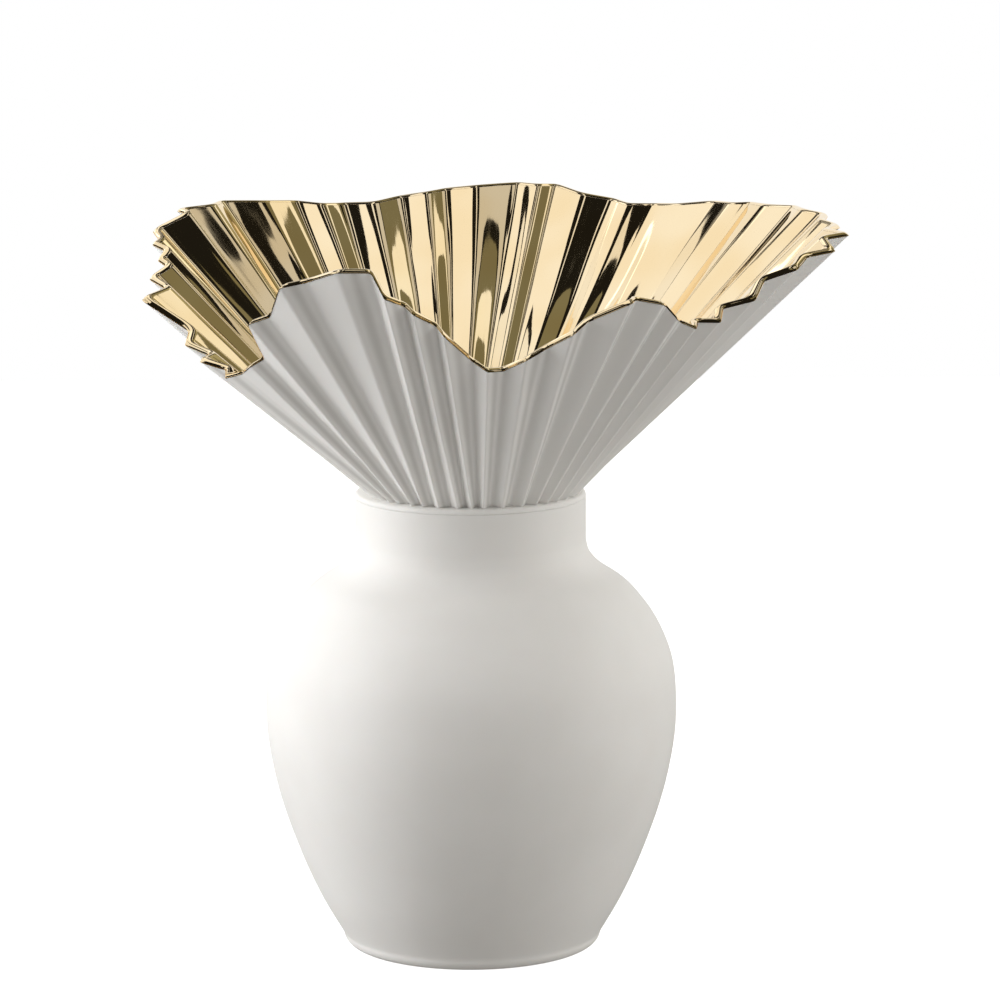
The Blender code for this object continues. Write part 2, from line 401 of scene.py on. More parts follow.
@dataclass(frozen=True)
class BiscuitPorcelain(Finish):
    """Unglazed white porcelain: a fine dry grain, faint clouding from the casting, and a soft sheen."""

    name: str = "biscuit_porcelain"
    pale: Colour = (0.90, 0.892, 0.875)
    clouded: Colour = (0.872, 0.862, 0.842)
    grain_size: float = 0.45 * MM
    cloud_size: float = 38 * MM
    grain_depth: float = 0.012 * MM
    cloud_relief: float = 0.6
    least_rough: float = 0.50
    most_rough: float = 0.62
    gloss: float = 0.35
    translucency: float = 0.06
    light_reach: tuple[float, float, float] = (3 * MM, 2 * MM, 1.5 * MM)

    def tone(self, sheet: NodeSheet, clouds: Value) -> bpy.types.NodeSocket:
        """The clay's colour, a little darker where the clouds are."""
        return sheet.blend(clouds.spread(0.3, 0.7), self.clouded, self.pale)

    def dress(self, sheet: NodeSheet, shader: bpy.types.Node) -> None:
        """Clouds the colour, varies the sheen with the grain and lifts the grain off the surface.

        Args:
            sheet: the material's node sheet.
            shader: its Principled shader.
        """
        clouds = sheet.noise(sheet.place(1 / self.cloud_size), detail=3.0)
        grain = sheet.noise(sheet.place(1 / self.grain_size), detail=3.0, roughness=0.6)
        sheet.feed(
            shader,
            {
                "Base Color": self.tone(sheet, clouds),
                "Roughness": grain.spread(0.2, 0.8, self.least_rough, self.most_rough),
                "Specular IOR Level": self.gloss,
                "Subsurface Weight": self.translucency,
                "Subsurface Radius": self.light_reach,
                "Subsurface Scale": 1.0,
                "Normal": sheet.bump(grain + clouds * self.cloud_relief, self.grain_depth),
            },
        )


@dataclass(frozen=True)
class FoldedPorcelain(BiscuitPorcelain):
    """Unglazed porcelain with painted shade: drawn a little greyer down in its folds, to deepen the soft
    shadow in them.
    """

    name: str = "folded_porcelain_painted_shade"
    # painted shade: the grey that the clay is drawn in at the bottom of the folds, standing in for their
    # shadow
    painted_fold_shade: Colour = (0.70, 0.69, 0.672)
    open_clay: Colour = (0.895, 0.887, 0.87)
    painted_shade_start: float = 0.38
    unevenness: float = 0.1

    def tone(self, sheet: NodeSheet, clouds: Value) -> bpy.types.NodeSocket:
        """Paints shade into the clay, greying it towards the valleys, with an edge that the clouds make
        uneven.

        Args:
            sheet: the material's node sheet.
            clouds: the clay's clouding.

        Returns:
            The colour's socket.
        """
        depth = 0.5 - sheet.fold_place().distance_from(0.5)
        # painted shade: a mask that greys the clay from partway down a valley's sides to its bottom
        painted_shade_mask = (depth + (clouds - 0.5) * self.unevenness).spread(self.painted_shade_start, 0.5)
        return sheet.blend(painted_shade_mask, self.open_clay, self.painted_fold_shade)


@dataclass(frozen=True)
class ClearGlaze(Finish):
    """White porcelain under a clear gloss glaze, with the slight orange peel that a poured glaze has."""

    name: str = "clear_glaze"
    pale: Colour = (0.89, 0.885, 0.87)
    pooled: Colour = (0.85, 0.852, 0.835)
    peel_size: float = 3.5 * MM
    peel_depth: float = 0.03 * MM
    pool_size: float = 31.5 * MM
    coat: float = 0.6
    coat_roughness: float = 0.04

    def dress(self, sheet: NodeSheet, shader: bpy.types.Node) -> None:
        """Tints the glaze where it is thicker, and ripples it.

        Args:
            sheet: the material's node sheet.
            shader: its Principled shader.
        """
        peel = sheet.noise(sheet.place(1 / self.peel_size), detail=1.0)
        pools = sheet.noise(sheet.place(1 / self.pool_size), detail=2.0)
        sheet.feed(
            shader,
            {
                "Base Color": sheet.blend(pools.spread(0.35, 0.65), self.pooled, self.pale),
                "Roughness": peel.spread(0.3, 0.7, 0.07, 0.13),
                "Coat Weight": self.coat,
                "Coat Roughness": self.coat_roughness,
                "Normal": sheet.bump(peel, self.peel_depth),
            },
        )


@dataclass(frozen=True)
class PolishedGold(Finish):
    """Pale gold plating, polished by hand: long soft ripples along the folds and faint burnishing marks."""

    name: str = "polished_gold"
    bright: Colour = (0.965, 0.80, 0.535)
    deep: Colour = (0.93, 0.735, 0.445)
    ripple_across: float = 0.9
    ripple_along: float = 2.6
    ripple_depth: float = 0.7 * MM
    marks_across: float = 14.0
    marks_along: float = 6.0
    burnish_depth: float = 0.004 * MM
    tint_size: float = 25 * MM
    least_rough: float = 0.035
    most_rough: float = 0.085

    def dress(self, sheet: NodeSheet, shader: bpy.types.Node) -> None:
        """Ripples the surface along the folds, and lets the burnishing marks roughen it here and there.

        Args:
            sheet: the material's node sheet.
            shader: its Principled shader.
        """
        ripple = sheet.noise(sheet.along_folds(self.ripple_across, self.ripple_along), detail=1.0)
        marks = sheet.noise(sheet.along_folds(self.marks_across, self.marks_along), detail=2.0)
        tone = sheet.noise(sheet.place(1 / self.tint_size), detail=1.0)
        height = ripple + marks * (self.burnish_depth / self.ripple_depth)
        sheet.feed(
            shader,
            {
                "Base Color": sheet.blend(tone.spread(0.3, 0.7), self.deep, self.bright),
                "Metallic": 1.0,
                "Roughness": marks.spread(0.45, 0.8, self.least_rough, self.most_rough),
                "Normal": sheet.bump(height, self.ripple_depth),
            },
        )


@dataclass(frozen=True)
class SetBackdrop(Finish):
    """The pale studio floor, lit so brightly that it reads as one even white."""

    name: str = "studio_white"
    white: Colour = (0.9, 0.9, 0.9)
    glow: float = 0.85

    def dress(self, sheet: NodeSheet, shader: bpy.types.Node) -> None:
        """Gives the floor a matte white with a glow of its own.

        Args:
            sheet: the material's node sheet.
            shader: its Principled shader.
        """
        sheet.feed(
            shader,
            {
                "Base Color": (*self.white, 1.0),
                "Roughness": 0.9,
                "Specular IOR Level": 0.0,
                "Emission Color": (*WHITE, 1.0),
                "Emission Strength": self.glow,
            },
        )


# ----------------------------------------------------------------------------------------------------
# The vase
# ----------------------------------------------------------------------------------------------------


def show(name: str, mesh: bpy.types.Mesh, finish: Finish, node: str) -> bpy.types.Object:
    """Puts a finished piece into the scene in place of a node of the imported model.

    Args:
        name: the piece's name.
        mesh: its mesh, already in place.
        finish: its finish.
        node: the node that it stands for.

    Returns:
        The piece.
    """
    mesh.materials.append(finish.material())
    piece = bpy.data.objects.new(name, mesh)
    bpy.context.scene.collection.objects.link(piece)
    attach(piece, "root")
    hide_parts(node)
    LOG.info("%s: %d faces, %s finish, in place of %s", name, len(mesh.polygons), finish.name, node)
    return piece


@dataclass
class VaseBody:
    """The cast body with its foot ring, belly, shoulder and neck, its inner glaze and the ring on its neck."""

    wall: float = 4.6 * MM
    neck_length: float = 17.5 * MM
    neck_radius: float = 44.9 * MM
    belly_height: float = 94.0 * MM
    foot_radius: float = 50.5 * MM
    foot_rounding: float = 4.6 * MM
    foot_contact_inset: float = 5.0 * MM
    foot_ring_width: float = 6.0 * MM
    base_recess: float = 2.2 * MM
    floor_thickness: float = 5.0 * MM
    glaze_thickness: float = 0.5 * MM
    glaze_gap: float = 0.05 * MM
    ring_rounding: float = 1.5 * MM
    ring_bore: float = 33.5 * MM
    ring_lip_drop: float = 0.5 * MM
    seam_groove: float = 0.35 * MM
    seam_rise: float = 0.2 * MM
    centre_hole: float = 2.0 * MM
    corner_inset: float = 4.0 * MM
    corner_height: float = 3.0 * MM
    columns: int = 192
    outline_points: int = 110
    axis: Vector = field(init=False)
    height: float = field(init=False)
    belly_radius: float = field(init=False)

    def __post_init__(self) -> None:
        """Reads the axis, the height and the belly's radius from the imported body."""
        low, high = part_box("vase_body")
        self.axis = (low + high) / 2
        self.height = high.z
        self.belly_radius = (high.x - low.x) / 2

    def outline(self) -> Points:
        """The outside from the foot's rounding to the neck's top.

        One cubic curve runs through a few points. They are given below the belly as shares of its height and
        bulge, and above it as shares of the shoulder's height and step.

        Returns:
            Rows of (radius, height).
        """
        lower = [(0.0, 0.0), (0.16, 0.278), (0.425, 0.627), (0.68, 0.871), (1.0, 1.0)]
        upper = [(0.38, 0.905), (0.612, 0.67), (0.752, 0.43), (0.846, 0.174), (0.927, 0.042), (1.0, 0.002)]
        shoulder = self.height - self.neck_length - self.belly_height
        rise, bulge = self.belly_height - self.foot_rounding, self.belly_radius - self.foot_radius
        step = self.belly_radius - self.neck_radius
        heights = [self.foot_rounding + rise * up for up, _ in lower]
        heights += [self.belly_height + shoulder * up for up, _ in upper]
        radii = [self.foot_radius + bulge * out for _, out in lower]
        radii += [self.neck_radius + step * out for _, out in upper]
        at = np.linspace(heights[0], heights[-1], self.outline_points)
        return np.column_stack([smooth_through(heights, radii, at), at])

    def inside(self, distance: float, top: float) -> Points:
        """The outline moved in square to itself, with a level floor, a rounded corner and a straight neck.

        Args:
            distance: how far it is moved in.
            top: the height that the neck ends at.

        Returns:
            Rows of (radius, height), from the middle of the floor up to the top.
        """
        outline = self.outline()
        along = np.gradient(outline, axis=0)
        along /= np.linalg.norm(along, axis=1)[:, None]
        inner = outline + distance * np.column_stack([-along[:, 1], along[:, 0]])
        floor = self.base_recess + self.floor_thickness + distance - self.wall
        above, below = floor + self.corner_height, self.height - self.neck_length
        inner = inner[(inner[:, 1] > above) & (inner[:, 1] < below)]
        bend = quarter_round((inner[0, 0] - self.corner_inset, floor), tuple(inner[0]), False, 7)[:-1]
        across = np.linspace(self.centre_hole, bend[0, 0], 8)[:-1]
        flat = np.column_stack([across, np.full_like(across, floor)])
        up = np.linspace(inner[-1, 1], top, 13)[1:]
        neck = np.column_stack([np.full_like(up, self.neck_radius - distance), up])
        return np.concatenate([flat, bend, inner, neck])

    def body_mesh(self) -> bpy.types.Mesh:
        """The body: its outline, turned about the axis.

        It runs under the recess, round the foot ring, up the outside, over the neck and down the inside.

        Returns:
            The mesh.
        """
        contact = self.foot_radius - self.foot_contact_inset
        inside_foot = contact - self.foot_ring_width
        recess_edge = inside_foot - 1.5 * self.base_recess
        recess = [(self.centre_hole, self.base_recess), (recess_edge, self.base_recess)]
        lip_top = (inside_foot - self.base_recess, 0.6 * self.base_recess)
        lip = quarter_round(lip_top, (inside_foot, 0.0), True, 5)
        foot = quarter_round((contact, 0.0), (self.foot_radius, self.foot_rounding), False, 12)[:-1]
        seam = self.height - self.seam_groove
        up = np.linspace(self.height - self.neck_length, seam, 15)[1:]
        neck = np.column_stack([np.full_like(up, self.neck_radius), up])
        groove_end = (self.neck_radius - self.seam_groove, self.height)
        groove = quarter_round((self.neck_radius, seam), groove_end, True, 4)[1:]
        outside = np.concatenate([recess, lip, foot, self.outline(), neck, groove])
        outline = np.concatenate([outside, self.inside(self.wall, self.height)[::-1]])
        return skin_mesh("body_shell", turned(outline, self.axis, self.columns), closed=False)

    def glaze_mesh(self) -> bpy.types.Mesh:
        """The glaze coat: up the inside of the body a hair off its wall, and down a coat's thickness in.

        Returns:
            The mesh.
        """
        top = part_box("inner_glaze")[1].z
        distance = self.wall + self.glaze_gap
        outer = self.inside(distance, top)
        inner = self.inside(distance + self.glaze_thickness, top)
        loop = np.concatenate([outer, inner[::-1]])
        return skin_mesh("glaze_coat", turned(loop, self.axis, self.columns // 2), closed=False)

    def ring_mesh(self) -> bpy.types.Mesh:
        """The ring on the neck: a fine groove below, a rounded outer shoulder, and a level ledge.

        Returns:
            The mesh.
        """
        bottom, top = self.height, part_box("collar_ring")[1].z
        rounding_end = (self.neck_radius - self.ring_rounding, top)
        shoulder = quarter_round((self.neck_radius, top - self.ring_rounding), rounding_end, True, 9)
        groove_start = (self.neck_radius - self.seam_groove, bottom)
        groove = [groove_start, (self.neck_radius, bottom + self.seam_rise)]
        across = np.linspace(self.neck_radius - 1.6 * self.ring_rounding, self.ring_bore, 4)
        ledge = np.column_stack([across, np.full_like(across, top)])
        inner = [(self.ring_bore, top - self.ring_lip_drop), (self.ring_bore, bottom)]
        loop = np.concatenate([groove, shoulder, ledge, inner])
        return skin_mesh("seam_ring", turned(loop, self.axis, self.columns), closed=True)

    def build(self) -> None:
        """Builds and dresses three pieces: the body, its glaze and its ring."""
        show("body_shell", self.body_mesh(), BiscuitPorcelain(), "vase_body")
        show("glaze_coat", self.glaze_mesh(), ClearGlaze(), "inner_glaze")
        show("seam_ring", self.ring_mesh(), BiscuitPorcelain(), "collar_ring")


@dataclass
class WallRow:
    """One line round the collar's wall.

    share: how far up the folds, 0 at the throat and 1 at the rim.
    out: how far outside the wall's outer face, square to it; negative is inside.
    roundness: half of the width over which a fold is rounded, as a share of the way to the next fold.
    past: how far past the rim, along the fold, in metres; negative is short of it.
    """

    share: float
    out: float
    roundness: float
    past: float = 0.0


# One row per fold. First, where its ridge stands on the ring, in degrees round from the front (positive to
# the right). Then where its ridge and the valley after it end on the wavy rim: degrees, distance from the
# axis in mm and height above the ring in mm. A valley stands half-way between two ridges.
FOLDS: tuple[tuple[float, tuple[float, float, float], tuple[float, float, float]], ...] = (
    (-57.0, (-72.0, 98, 49), (-65.5, 95, 52)),
    (-49.4, (-54.0, 102, 57.5), (-51.0, 99, 61)),
    (-42.4, (-44.0, 118, 77), (-40.2, 114, 80)),
    (-33.0, (-32.5, 128.5, 93.5), (-28.8, 123, 95.5)),
    (-26.2, (-21.7, 129.5, 100.5), (-16.9, 122.5, 100)),
    (-17.0, (-14.8, 121, 90.5), (-12.4, 110, 86.5)),
    (-6.5, (-10.5, 113, 84), (-7.0, 102, 78.5)),
    (0.7, (-5.2, 104.5, 75), (0.7, 89, 63.5)),
    (6.9, (4.1, 92, 60), (8.3, 86.5, 59.5)),
    (16.9, (12.6, 96, 64.5), (17.6, 94.5, 68.5)),
    (28.0, (21.1, 105.5, 74.5), (24.5, 105, 79)),
    (36.5, (30.2, 118, 86.5), (32.6, 113.5, 87)),
    (44.0, (37.0, 118.5, 85), (40.4, 112, 83)),
    (52.0, (42.6, 113.5, 78), (47.2, 107, 75.5)),
    (60.0, (49.4, 111, 73), (52.8, 107, 74.5)),
    (68.5, (54.9, 114.5, 74.5), (57.4, 112.5, 79)),
    (77.0, (60.2, 123, 82), (64.0, 123, 88.5)),
    (84.5, (66.4, 134, 92.5), (71.5, 134.5, 96)),
    (92.0, (74.5, 143.5, 97.5), (78.0, 138.5, 101)),
    (99.0, (82.0, 146.5, 101.5), (88.5, 138.5, 101)),
    (106.0, (93.5, 144, 101), (98.5, 140, 102)),
    (113.0, (104.0, 145, 102.5), (108.5, 141, 103)),
    (120.0, (114.0, 143, 103), (119.0, 138, 102.5)),
    (130.0, (125.0, 140.5, 102), (127.5, 136.5, 101.5)),
    (139.0, (133.5, 138, 101), (139.0, 131.5, 99.5)),
    (150.0, (145.0, 133, 98.5), (149.0, 128, 98.5)),
    (159.0, (152.5, 132, 99.5), (158.5, 127.5, 102)),
    (169.0, (164.0, 134, 104.5), (167.0, 128.5, 105)),
    (178.0, (171.5, 133.5, 105), (178.5, 126.5, 104.5)),
    (188.0, (184.0, 130.5, 103), (188.0, 126, 102)),
    (198.0, (192.0, 130, 100.5), (198.5, 126, 98.5)),
    (208.0, (204.0, 132, 98), (208.0, 129.5, 98.5)),
    (218.0, (212.0, 138, 99.5), (218.5, 136.5, 100.5)),
    (228.0, (224.5, 144.5, 101), (228.5, 140.5, 100.5)),
    (238.0, (233.2, 147, 99.5), (235.2, 138, 99.5)),
    (246.0, (239.8, 146.5, 93), (242.0, 140, 90.5)),
    (253.5, (243.8, 140.5, 89), (245.6, 132.5, 87.5)),
    (261.0, (247.4, 133.5, 84), (249.5, 127.5, 82.5)),
    (269.0, (252.2, 132.5, 78), (256.5, 122, 75.5)),
    (277.5, (262.5, 129, 73), (266.5, 109, 62)),
    (286.0, (270.5, 110, 57.5), (275.0, 100.5, 54.5)),
    (294.5, (279.5, 105, 53.5), (283.5, 96, 51)),
)


@dataclass
class PleatedCollar:
    """The flaring skirt of irregular folds with its wavy rim, and the gold inside it and over its edge."""

    ledge: float = 2.8 * MM
    fold_depth: float = 4.2 * MM
    throat_to_right: float = 1.1 * MM
    wall: float = 2.8 * MM
    foot_level_share: float = 0.15
    crisp: float = 0.10
    soft: float = 0.24
    lip_length: float = 2.3 * MM
    edge_lap: float = 0.25 * MM
    crown_share: float = 0.2
    ripple: float = 0.24 * MM
    gold_skin: float = 0.12 * MM
    gold_gap: float = 0.03 * MM
    edge_softening: float = 0.12
    sample_crowding: float = 1.4
    wave_turns: tuple[int, int, int] = (55, 97, 16)
    wave_slants: tuple[float, float, float] = (0.5, 0.8, 0.7)
    wave_bend: float = 1.5
    fine_wave_share: float = 0.35
    throat_wave_share: float = 0.25
    map_scale: float = 8.0
    samples: int = 16
    axis: Vector = field(init=False)
    foot: float = field(init=False)
    throat_angle: Points = field(init=False)
    throat_radius: Points = field(init=False)
    rim_angle: Points = field(init=False)
    rim_radius: Points = field(init=False)
    rim_height: Points = field(init=False)

    def __post_init__(self) -> None:
        """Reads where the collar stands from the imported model, and lays out its fold lines."""
        low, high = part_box("vase_body")
        self.axis = (low + high) / 2
        ring_low, ring_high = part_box("collar_ring")
        self.foot = ring_high.z
        ridge = (ring_high.x - ring_low.x) / 2 - self.ledge
        ridges = np.array([fold[0] for fold in FOLDS])
        valleys = (ridges + np.append(ridges[1:], ridges[0] + 360.0)) / 2
        rim = np.array([end for fold in FOLDS for end in fold[1:]])
        self.throat_angle = np.radians(np.column_stack([ridges, valleys]).ravel())
        self.throat_radius = np.tile([ridge, ridge - self.fold_depth], len(FOLDS))
        self.throat_radius += self.throat_to_right * np.sin(self.throat_angle)
        self.rim_angle = np.radians(rim[:, 0])
        self.rim_radius, self.rim_height = rim[:, 1] * MM, rim[:, 2] * MM

    def fold_points(self, rows: Sequence[WallRow]) -> Points:
        """Where each row crosses each fold line.

        A fold runs straight from its point on the throat to its point on the rim, and the wall's faces lie
        square to it, but the lowest row stays level with the collar's foot.

        Args:
            rows: the rows.

        Returns:
            The points, shaped (rows, folds, 3).
        """
        flare = self.rim_radius - self.throat_radius
        length = np.hypot(flare, self.rim_height)
        rise, run = self.rim_height / length, flare / length
        share, out, past = (
            np.array([getattr(row, name) for row in rows])[:, None] for name in ("share", "out", "past")
        )
        up = share + past / length
        start = np.stack([np.sin(self.throat_angle), -np.cos(self.throat_angle)]) * self.throat_radius
        end = np.stack([np.sin(self.rim_angle), -np.cos(self.rim_angle)]) * self.rim_radius
        plan = start[:, None, :] * (1 - up) + end[:, None, :] * up
        plan *= 1 + out * rise / np.hypot(*plan)
        tilted = np.clip(up / self.foot_level_share, 0.0, 1.0)
        height = self.foot + self.rim_height * up - out * run * tilted
        return np.stack([plan[0] + self.axis.x, plan[1] + self.axis.y, height], axis=-1)

    def wall_rings(self, rows: Sequence[WallRow]) -> Points:
        """The rows with their folds rounded.

        Between two folds a row runs straight. Within its roundness w of a fold at distance t, it is the
        parabola that meets both straights: V + t (a + b) / 2 + (b - a) (t^2 + w^2) / 4w, where V is the
        fold's point and a and b are the steps before and after it. Columns crowd towards the folds. The inner
        face's ripples then move each point straight away from the axis.

        Args:
            rows: the rows.

        Returns:
            The points, shaped (rows, columns, 3).
        """
        corner = self.fold_points(rows)[:, :, None, :]
        before = corner - np.roll(corner, 1, axis=1)
        after = np.roll(corner, -1, axis=1) - corner
        u = np.linspace(-1.0, 1.0, self.samples, endpoint=False)
        t = (0.5 * np.sign(u) * np.abs(u) ** self.sample_crowding)[None, None, :, None]
        w = np.array([row.roundness for row in rows])[:, None, None, None]
        straight = corner + t * np.where(t > 0, after, before)
        rounded = corner + t * (before + after) / 2 + (after - before) * (t * t + w * w) / (4 * w)
        rings = np.where(np.abs(t) < w, rounded, straight).reshape(len(rows), -1, 3)
        outwards = rings - [self.axis.x, self.axis.y, 0.0]
        outwards[..., 2] = 0.0
        outwards /= np.linalg.norm(outwards, axis=-1)[..., None]
        return rings + outwards * self.ripples(rows)[..., None]

    def ripples(self, rows: Sequence[WallRow]) -> Points:
        """How far the hand-smoothed inner face swells outwards, in metres.

        It is the sum of two slanting waves, whose fronts a third one bends. They fade towards the throat and
        towards the wall's outer face, which has none.

        Args:
            rows: the rows.

        Returns:
            The swell at each point, shaped (rows, columns).
        """
        columns = 2 * len(FOLDS) * self.samples
        turn = np.linspace(0.0, math.tau, columns, endpoint=False)[None, :]
        up = np.array([row.share + self.map_scale * row.past for row in rows])[:, None]
        inwards = np.array([-row.out for row in rows])[:, None] / self.wall
        inside = np.clip((inwards - self.crown_share) / (1 - self.crown_share), 0.0, 1.0)
        broad_turns, fine_turns, bend_turns = self.wave_turns
        broad_slant, fine_slant, bend_slant = (math.tau * slant for slant in self.wave_slants)
        bend = self.wave_bend * np.sin(bend_turns * turn - bend_slant * up)
        waves = np.sin(broad_turns * turn + broad_slant * up + bend)
        waves += self.fine_wave_share * np.sin(fine_turns * turn - fine_slant * up + bend)
        fade = self.throat_wave_share + (1 - self.throat_wave_share) * up
        return self.ripple * inside * fade * waves

    def fold_map(self, rows: Sequence[WallRow]) -> Points:
        """The fold map: folds counted round the collar, and the share of the way up it.

        Args:
            rows: the rows.

        Returns:
            The coordinate pairs, shaped (rows, columns + 1, 2).
        """
        columns = 2 * len(FOLDS) * self.samples
        across = np.linspace(0.0, len(FOLDS), columns + 1)
        up = np.array([row.share + self.map_scale * row.past for row in rows])
        return np.stack(np.broadcast_arrays(across[None, :], up[:, None]), axis=-1)

    def lip(self, lift: float, start: float, end: float, steps: int) -> list[WallRow]:
        """Rows over the rim, from its inside to its outside.

        The inner face curls outwards over the lip's length as a quarter of an ellipse. A small round takes it
        over the top to the outer face.

        Args:
            lift: how far off the porcelain the rows lie.
            start: how far short of the rim they start on the inside.
            end: how far short of the rim they end on the outside.
            steps: how many rows each of the two curves has.

        Returns:
            The rows.
        """
        crown = self.crown_share * self.wall
        rows = []
        for turn in np.linspace(0.0, QUARTER_TURN, steps):
            back = (1 - math.sin(turn)) * self.lip_length
            if back <= start:
                out = -crown - (self.wall - crown + lift) * math.cos(turn)
                rows.append(WallRow(1.0, out, self.soft, lift * math.sin(turn) - back))
        for turn in np.linspace(0.0, QUARTER_TURN, steps)[1:]:
            out = -crown * math.cos(turn) + lift * math.sin(turn)
            drop = crown * (1 - math.cos(turn)) - lift * math.cos(turn)
            roundness = self.soft + (self.crisp - self.soft) * turn / QUARTER_TURN
            rows.append(WallRow(1.0, out, roundness, -drop))
        rows.append(WallRow(1.0, lift, self.crisp, -end))
        return rows

    def wall_skin(self, name: str, rows: Sequence[WallRow]) -> bpy.types.Mesh:
        """A closed skin through rows, with the fold map on it."""
        return skin_mesh(name, self.wall_rings(rows), closed=True, fold_map=self.fold_map(rows))

    def skirt_mesh(self) -> bpy.types.Mesh:
        """The porcelain: over the lip from inside to outside, down the outer face and up the inner one again.

        The folds get softer down the outer face, by the square of the way down it.

        Returns:
            The mesh.
        """
        down = np.linspace(1.0, 0.0, 30)[2:] ** 1.3
        up = np.linspace(0.0, 1.0, 18)[:-1] ** 1.2
        rows = self.lip(0.0, self.lip_length, 2.0 * MM, 7)
        rows += [WallRow(s, 0.0, self.crisp + self.edge_softening * (1 - s) ** 2) for s in down]
        rows += [WallRow(s, -self.wall, self.soft) for s in up]
        rows.append(WallRow(1.0, -self.wall, self.soft, -1.3 * self.lip_length))
        return self.wall_skin("pleated_skirt", rows)

    def lining_mesh(self) -> bpy.types.Mesh:
        """The gold on the inner face: up its visible side from the throat to the lip and back down behind.

        Returns:
            The mesh.
        """
        up = np.linspace(0.015, 1.0, 44)[:-1]
        back = -self.wall - self.gold_gap
        face = back - self.gold_skin
        top = -1.05 * self.lip_length
        rows = [WallRow(s, face, self.soft) for s in up] + [WallRow(1.0, face, self.soft, top)]
        rows += [WallRow(1.0, back, self.soft, top)] + [WallRow(s, back, self.soft) for s in up[::-6]]
        return self.wall_skin("plated_lining", rows[::-1])

    def edge_mesh(self) -> bpy.types.Mesh:
        """The gold over the rim: its visible side over the lip, and its back on the porcelain.

        Returns:
            The mesh.
        """
        lift = self.gold_gap + self.gold_skin
        outer = self.lip(lift, self.lip_length, self.edge_lap, 9)
        inner = self.lip(self.gold_gap, self.lip_length, self.edge_lap, 5)
        return self.wall_skin("gilded_edge", outer + inner[::-1])

    def build(self) -> None:
        """Builds and dresses the skirt, its lining and its edge."""
        # the skirt's porcelain carries painted shade in its folds
        show("pleated_skirt", self.skirt_mesh(), FoldedPorcelain(), "pleated_collar")
        show("plated_lining", self.lining_mesh(), PolishedGold(), "gold_lining")
        show("gilded_edge", self.edge_mesh(), PolishedGold(), "gold_edge")


# ----------------------------------------------------------------------------------------------------
# The studio
# ----------------------------------------------------------------------------------------------------


class Role(Enum):
    """What a light is for."""

    SHADING = "shading"
    REFLECTION = "reflection"


@dataclass(frozen=True)
class Softbox:
    """A rectangular light with an even face, which points at the vase.

    place is where it hangs from the point it lights, size its width and height, and radiance the brightness
    of its face, where 1 is white.
    """

    name: str
    place: tuple[float, float, float]
    size: tuple[float, float]
    radiance: float
    role: Role
    colour: Colour = WHITE

    def build(self, target: Vector) -> None:
        """Hangs the light and turns its face to the target.

        Args:
            target: the point that it lights.
        """
        lamp = bpy.data.lights.new(self.name, "AREA")
        lamp.shape = "RECTANGLE"
        lamp.size, lamp.size_y = self.size
        lamp.energy = self.radiance * math.pi * self.size[0] * self.size[1]
        lamp.color = self.colour
        light = bpy.data.objects.new(self.name, lamp)
        light.location = target + Vector(self.place)
        light.rotation_mode = "QUATERNION"
        light.rotation_quaternion = Vector(self.place).to_track_quat("Z", "Y")
        light.visible_diffuse = self.role is not Role.REFLECTION
        light.visible_glossy = self.role is not Role.SHADING
        light.visible_camera = False
        bpy.context.scene.collection.objects.link(light)
        LOG.info("%s: %s light at %s", self.name, self.role.value, self.place)


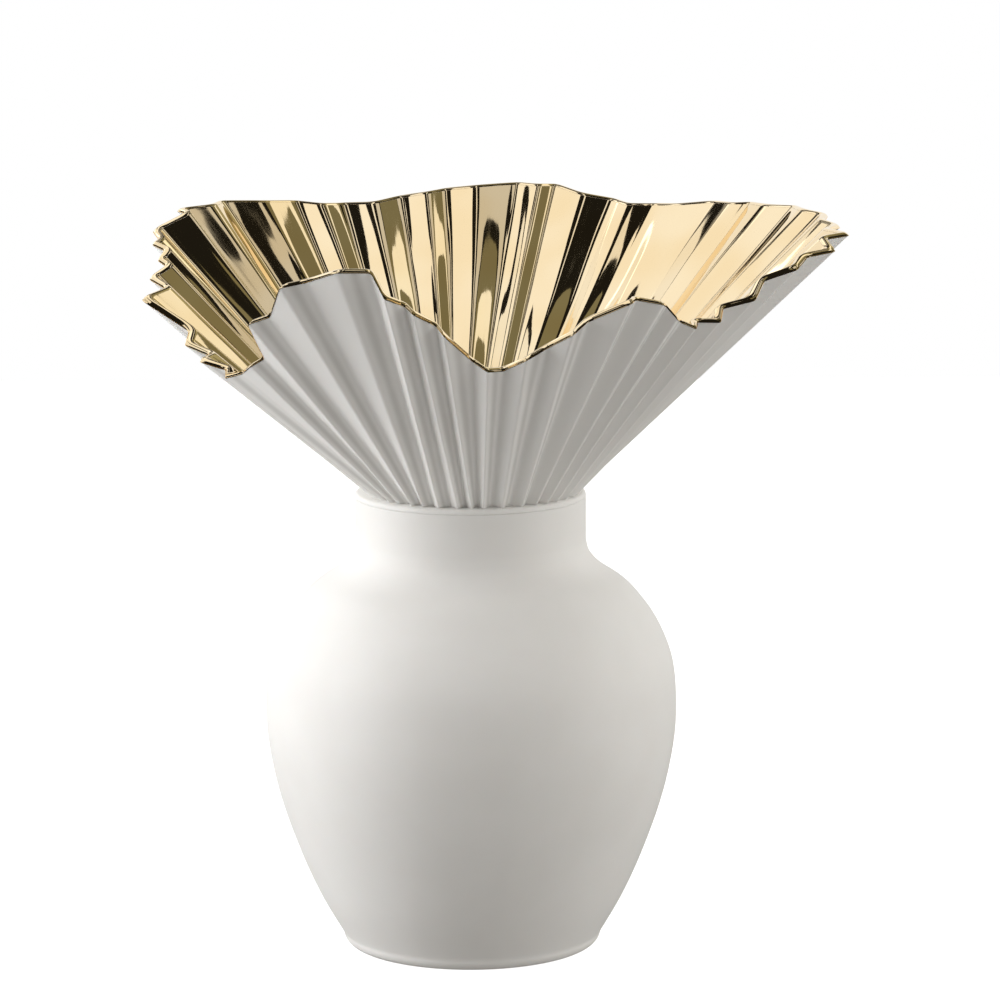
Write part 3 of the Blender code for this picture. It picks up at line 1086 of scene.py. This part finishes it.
@dataclass
class Studio:
    """The floor, the lights, the surroundings and the camera."""

    floor_size: float = 3.0
    camera_distance: float = 1.862
    camera_above_neck: float = 0.3216
    camera_aim: tuple[float, float, float] = (0.0115, 0.0, -0.0019)
    camera_roll_deg: float = -0.2
    lens: float = 175.3
    lights: tuple[Softbox, ...] = (
        Softbox("key_left", (-1.2, 0.0, 0.2), (1.3, 1.5), 2.3, Role.SHADING),
        Softbox("low_left", (-1.1, -0.3, -0.05), (1.0, 0.4), 2.76, Role.SHADING),
        Softbox("top_left", (-0.9, 0.0, 1.0), (1.0, 1.0), 0.70, Role.SHADING),
        Softbox("top", (0.0, 0.0, 1.3), (1.3, 1.3), 1.0, Role.SHADING),
        Softbox("top_front", (0.0, -0.9, 1.0), (1.2, 0.9), 0.30, Role.SHADING),
        Softbox("fill_right", (1.2, 0.0, 0.2), (1.3, 1.5), 1.12, Role.SHADING, WARM),
        Softbox("right_front", (0.95, -0.85, 0.2), (1.0, 1.4), 0.68, Role.SHADING, WARM),
        Softbox("right_back", (0.95, 0.85, 0.2), (1.0, 1.4), 0.61, Role.SHADING),
        Softbox("back_card", (0.0, 1.5, 0.25), (3.4, 1.4), 0.95, Role.REFLECTION),
        Softbox("left_card_low", (-1.22, 0.25, 0.57), (2.2, 0.98), 0.95, Role.REFLECTION),
        Softbox("left_card_high", (-0.63, -0.05, 1.2), (2.2, 0.6), 1.0, Role.REFLECTION),
        Softbox("left_back_card", (-0.45, 0.95, 1.3), (0.7, 0.8), 0.3, Role.REFLECTION),
        Softbox("right_back_card", (0.45, 0.95, 1.3), (0.7, 1.0), 0.2, Role.REFLECTION, OLIVE),
        Softbox("right_card", (1.0, 0.25, 0.9), (2.2, 1.3), 0.18, Role.REFLECTION, OLIVE),
        Softbox("front_right_card", (0.30, -0.62, 1.20), (0.7, 0.36), 0.2, Role.REFLECTION, OLIVE),
        Softbox("front_high_card", (0.42, -0.16, 1.33), (0.44, 0.3), 0.62, Role.REFLECTION, WARM),
        Softbox("right_strip", (0.55, 0.2, 0.9), (1.4, 0.12), 0.8, Role.REFLECTION),
        Softbox("top_strip", (0.0, 0.1, 1.35), (0.10, 1.0), 0.9, Role.REFLECTION),
    )
    ambient: Colour = (0.278, 0.267, 0.250)
    reflected: Colour = (0.012, 0.011, 0.009)

    def floor(self, centre: Vector) -> None:
        """Lays the floor, a level square under the vase.

        Args:
            centre: a point above its middle.
        """
        half = self.floor_size / 2
        step = np.array([[-half, -half], [half, -half], [half, half], [-half, half]])
        corners = np.column_stack([step + [centre.x, centre.y], np.zeros(4)])
        mesh = bpy.data.meshes.new("studio_floor")
        mesh.from_pydata(corners.tolist(), [], [(0, 1, 2, 3)])
        mesh.materials.append(SetBackdrop().material())
        floor = bpy.data.objects.new("studio_floor", mesh)
        bpy.context.scene.collection.objects.link(floor)
        floor.visible_diffuse = False
        floor.visible_glossy = False
        floor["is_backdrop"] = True

    def surroundings(self) -> None:
        """Makes the world: white behind the vase, soft grey for shading it, and nearly black in its gold."""
        world = bpy.data.worlds.new("studio_room")
        world.use_nodes = True
        bpy.context.scene.world = world
        sheet = NodeSheet(world.node_tree)
        rays = sheet.add("ShaderNodeLightPath")
        seen = Value(sheet, rays.outputs["Is Camera Ray"])
        mirrored = Value(sheet, rays.outputs["Is Glossy Ray"])
        unseen = sheet.blend(mirrored, self.ambient, self.reflected)
        colour = sheet.blend(seen, unseen, WHITE)
        back = sheet.add("ShaderNodeBackground", {}, {"Color": colour, "Strength": 1.0})
        sheet.add("ShaderNodeOutputWorld", {}, {"Surface": back.outputs[0]})

    def camera(self, neck: Vector) -> None:
        """Sets the camera in front of the vase, a little above its neck.

        Args:
            neck: the middle of the neck's top.
        """
        lens = bpy.data.cameras.new("camera")
        lens.lens = self.lens
        lens.clip_end = 20.0
        camera = bpy.data.objects.new("camera", lens)
        camera.location = neck + Vector((0.0, -self.camera_distance, self.camera_above_neck))
        forward = neck + Vector(self.camera_aim) - camera.location
        roll = Quaternion((0.0, 0.0, 1.0), math.radians(self.camera_roll_deg))
        camera.rotation_mode = "QUATERNION"
        camera.rotation_quaternion = forward.to_track_quat("-Z", "Y") @ roll
        bpy.context.scene.collection.objects.link(camera)
        bpy.context.scene.camera = camera

    def build(self, body: VaseBody) -> None:
        """Builds the studio round the vase.

        Args:
            body: the vase's body, which it is laid out from.
        """
        neck = Vector((body.axis.x, body.axis.y, body.height))
        scene = bpy.context.scene
        scene.view_settings.view_transform = "Standard"
        self.camera(neck)
        self.floor(body.axis)
        self.surroundings()
        for light in self.lights:
            light.build(neck)


def corners() -> list[list[float]]:
    """The whole model's lowest and highest corners, as plain lists."""
    return [list(corner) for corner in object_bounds()]


def main() -> None:
    """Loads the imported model, builds the vase round it and sets up the studio."""
    logging.basicConfig(level=logging.INFO, format="%(name)s: %(message)s")
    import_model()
    body = VaseBody()
    body.build()
    PleatedCollar().build()
    Studio().build(body)


if __name__ == "__main__":
    main()
